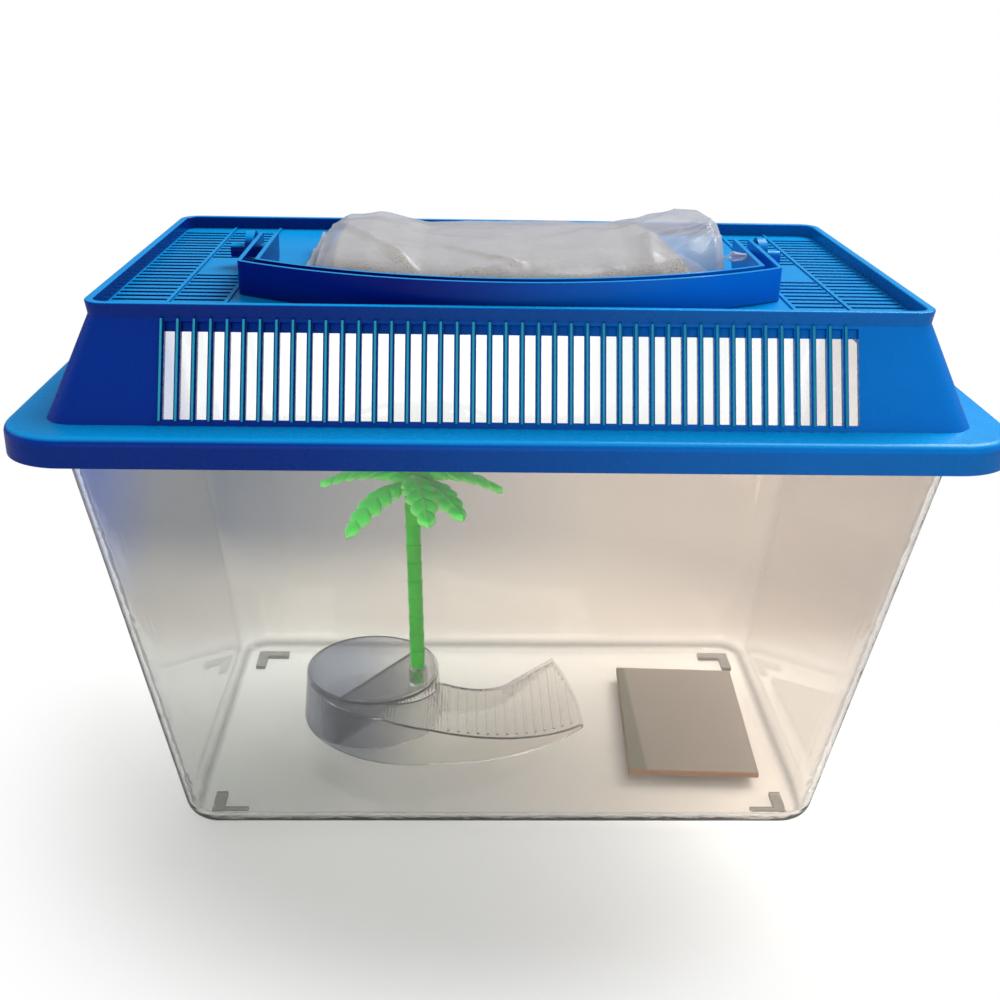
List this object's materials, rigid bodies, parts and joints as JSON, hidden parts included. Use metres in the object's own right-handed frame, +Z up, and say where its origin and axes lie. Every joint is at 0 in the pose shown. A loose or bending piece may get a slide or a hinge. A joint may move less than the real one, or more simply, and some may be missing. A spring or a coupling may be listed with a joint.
{
  "type": "portable pet tank",
  "caption": "Tapered clear tub with a slotted snap-over lid, folding loop handle, loose basking island with a plug-in palm, a flat tile and a filled bag on the lid.",
  "frame": {"origin": "on the floor under the middle of the tub", "axes": "+X along the tank to the viewer's right, -Y the front, +Z up"},
  "size_m": [0.3, 0.1986, 0.2082],
  "materials": {
    "tub_clear": "clear moulded, glossy",
    "lid_blue": "moulded, glossy",
    "handle_blue": "moulded, glossy",
    "island_clear": "clear tinted, glossy",
    "trunk_green": "moulded, soft gloss",
    "leaf_green": "moulded, satin",
    "tile_brown": "matte",
    "film_clear": "thin clear film",
    "fill_pale": "fine loose grains"
  },
  "bodies": {
    "tub": {"tank": "tub_clear"},
    "lid": {"lid": "lid_blue"},
    "handle": {"handle": "handle_blue"},
    "bag": {"bag_film": "film_clear", "bag_fill": "fill_pale"},
    "island": {"island": "island_clear"},
    "palm": {"palm_trunk": "trunk_green", "palm_crown": "leaf_green"},
    "tile": {"floor_tile": "tile_brown"}
  },
  "joints": [
    {"name": "lid_lift", "type": "slide", "parent": "tub", "child": "lid", "axis": [0, 0, 1], "range_m": [0, 0.12]},
    {"name": "handle_fold", "type": "hinge", "parent": "lid", "child": "handle", "pos_m": [0, 0, 0.19325], "axis": [-1, 0, 0], "range_deg": [0, 92]},
    {"name": "bag_lift", "type": "slide", "parent": "lid", "child": "bag", "axis": [0, 0, 1], "range_m": [0, 0.1]},
    {"name": "island_lift", "type": "slide", "parent": "tub", "child": "island", "axis": [0, 0, 1], "range_m": [0, 0.04]},
    {"name": "palm_pull", "type": "slide", "parent": "island", "child": "palm", "axis": [-0.0244, 0, 0.9997], "range_m": [0, 0.025]},
    {"name": "tile_lift", "type": "slide", "parent": "tub", "child": "tile", "axis": [0, 0, 1], "range_m": [0, 0.06]}
  ]
}
